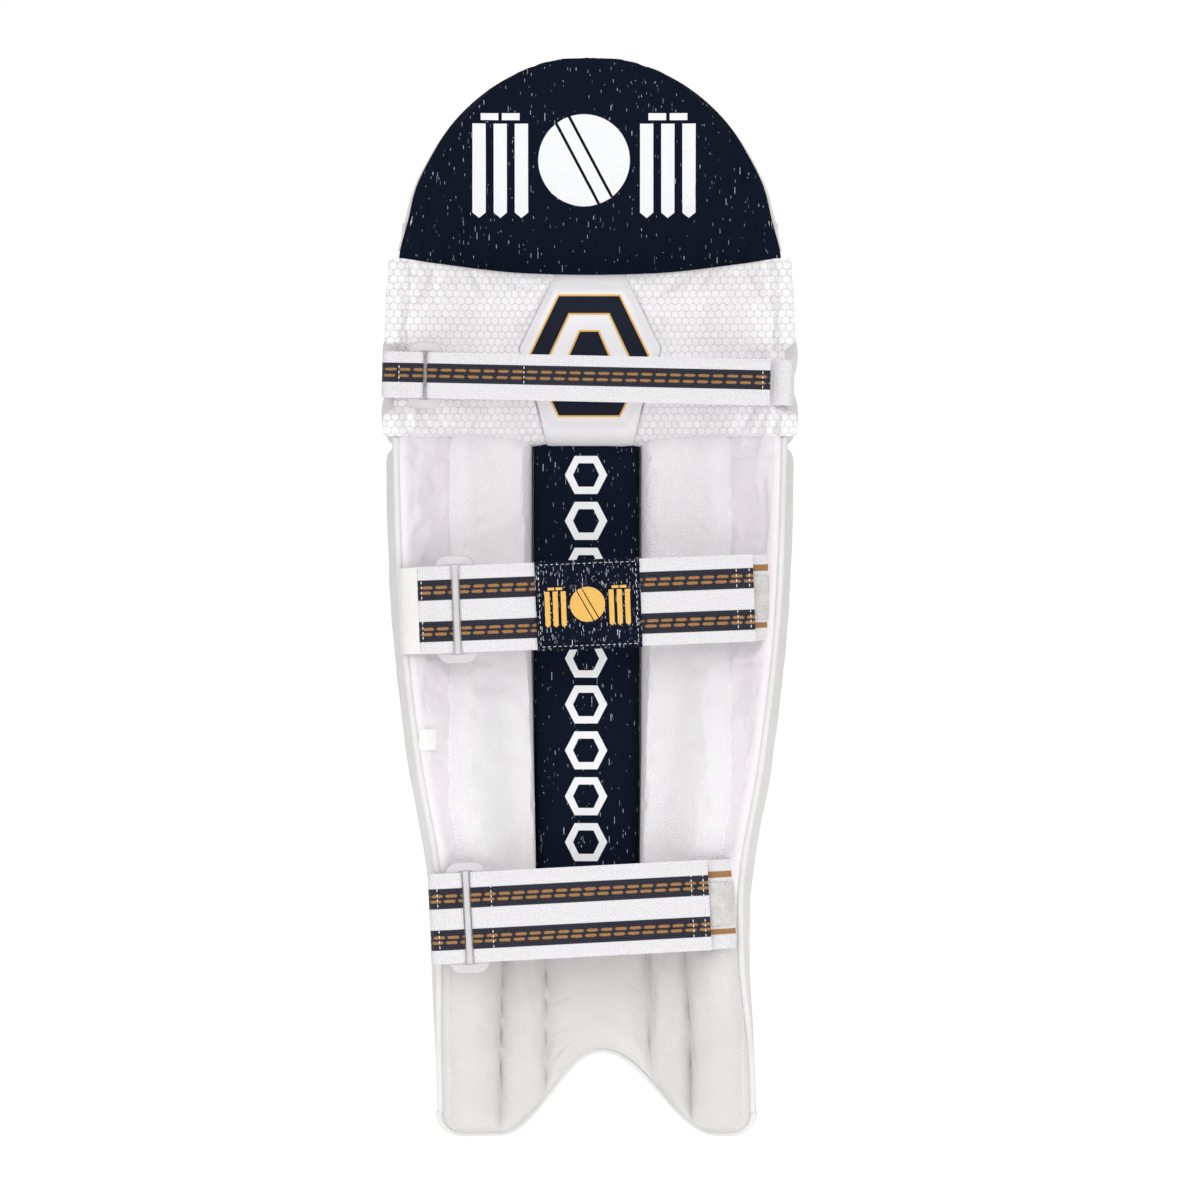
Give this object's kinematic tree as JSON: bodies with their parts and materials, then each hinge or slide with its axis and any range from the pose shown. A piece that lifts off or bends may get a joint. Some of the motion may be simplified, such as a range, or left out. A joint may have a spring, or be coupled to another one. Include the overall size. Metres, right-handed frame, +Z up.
{
  "type": "cricket leg pad",
  "caption": "Curved, padded shin and knee guard with a domed top flap, leg-side foam bolsters and hook-and-loop straps drawn through plastic rings.",
  "frame": {"origin": "on the leg's centre line, level with the bottom of the pad's feet", "axes": "+Z up the shin, +Y out through the ball side, +X to the wearer's right"},
  "size_m": [0.2606, 0.1137, 0.68],
  "materials": {
    "pu_leather": "white coated leather with a fine grain, satin",
    "moulded_cup": "smooth moulded white leather cloth, satin",
    "piping": "white coated piping, satin",
    "honeycomb_mesh": "white fabric with small raised hexagons, matt",
    "knit_mesh": "white knitted spacer mesh with a fine diamond texture, matt",
    "lilac_lining": "thin smooth lining, off-white with a trace of lilac, matt",
    "navy_fabric": "dark navy fabric with short white flecks, matt",
    "webbing": "white woven webbing with navy bands and gold dashes, matt",
    "ring_plastic": "milky translucent moulded plastic",
    "pile": "light grey hook and loop pile, matt",
    "label_satin": "plain white satin tape",
    "board_cloth": "stiff off-white cloth over a thin board",
    "cane": "split cane",
    "foam": "cream high density foam"
  },
  "bodies": {
    "pad": {"shin_face_cover": "pu_leather", "left_wing": "pu_leather", "right_wing": "pu_leather", "knee_roll_lower": "pu_leather", "knee_roll_middle": "pu_leather", "knee_roll_upper": "pu_leather", "instep_lining": "pu_leather", "knee_cup": "moulded_cup", "left_edge_binding": "piping", "right_edge_binding": "piping", "arch_binding": "piping", "left_knee_cover": "honeycomb_mesh", "right_knee_cover": "honeycomb_mesh", "left_bolster_cover": "knit_mesh", "right_bolster_cover": "knit_mesh", "left_lining": "lilac_lining", "right_lining": "lilac_lining", "centre_strip": "navy_fabric", "knee_strap_under": "webbing", "calf_strap_under": "webbing", "ankle_strap_under": "webbing", "knee_loop_patch": "pile", "calf_loop_patch": "pile", "ankle_loop_patch": "pile", "care_label": "label_satin", "backing_board": "board_cloth", "cane_rod_1": "cane", "cane_rod_2": "cane", "cane_rod_3": "cane", "cane_rod_4": "cane", "cane_rod_5": "cane", "cane_rod_6": "cane", "cane_rod_7": "cane", "left_bolster_foam": "foam", "right_bolster_foam": "foam", "knee_foam": "foam"},
    "top_flap": {"top_flap_board": "board_cloth", "top_flap_face": "pu_leather", "top_flap_lining": "navy_fabric", "top_flap_binding": "piping"},
    "knee_ring_tab": {"knee_strap_tab": "webbing", "knee_ring": "ring_plastic", "knee_strap_bend": "webbing"},
    "knee_strap": {"knee_strap_end": "webbing", "knee_hook_patch": "pile"},
    "calf_ring_tab": {"calf_strap_tab": "webbing", "calf_ring": "ring_plastic", "calf_strap_bend": "webbing", "calf_tab_label": "pu_leather"},
    "calf_strap": {"calf_strap_end": "webbing", "calf_hook_patch": "pile", "calf_strap_badge": "navy_fabric"},
    "ankle_ring_tab": {"ankle_strap_tab": "webbing", "ankle_ring": "ring_plastic", "ankle_strap_bend": "webbing"},
    "ankle_strap": {"ankle_strap_end": "webbing", "ankle_hook_patch": "pile"}
  },
  "joints": [
    {"name": "top_flap_bend", "type": "hinge", "parent": "pad", "child": "top_flap", "pos_m": [0, 0.05, 0.556], "axis": [1, 0, 0], "range_deg": [-8, 14], "stiffness_Nm_per_rad": 2.5},
    {"name": "knee_ring_swing", "type": "hinge", "parent": "pad", "child": "knee_ring_tab", "pos_m": [-0.11917, -0.01875, 0.4815], "axis": [-0.0209, 0, -0.9998], "range_deg": [0, 20]},
    {"name": "knee_strap_open", "type": "hinge", "parent": "knee_ring_tab", "child": "knee_strap", "pos_m": [-0.09758, -0.02235, 0.48104], "axis": [-0.0209, 0, -0.9998], "range_deg": [0, 165]},
    {"name": "calf_ring_swing", "type": "hinge", "parent": "pad", "child": "calf_ring_tab", "pos_m": [-0.11215, -0.02424, 0.3311], "axis": [0.0436, 0, -0.999], "range_deg": [0, 20]},
    {"name": "calf_strap_open", "type": "hinge", "parent": "calf_ring_tab", "child": "calf_strap", "pos_m": [-0.07625, -0.02784, 0.33267], "axis": [0.0436, 0, -0.999], "range_deg": [0, 165]},
    {"name": "ankle_ring_swing", "type": "hinge", "parent": "pad", "child": "ankle_ring_tab", "pos_m": [-0.09455, -0.01044, 0.13903], "axis": [0.0314, 0, -0.9995], "range_deg": [0, 20]},
    {"name": "ankle_strap_open", "type": "hinge", "parent": "ankle_ring_tab", "child": "ankle_strap", "pos_m": [-0.06927, -0.01404, 0.13982], "axis": [0.0314, 0, -0.9995], "range_deg": [0, 165]}
  ]
}
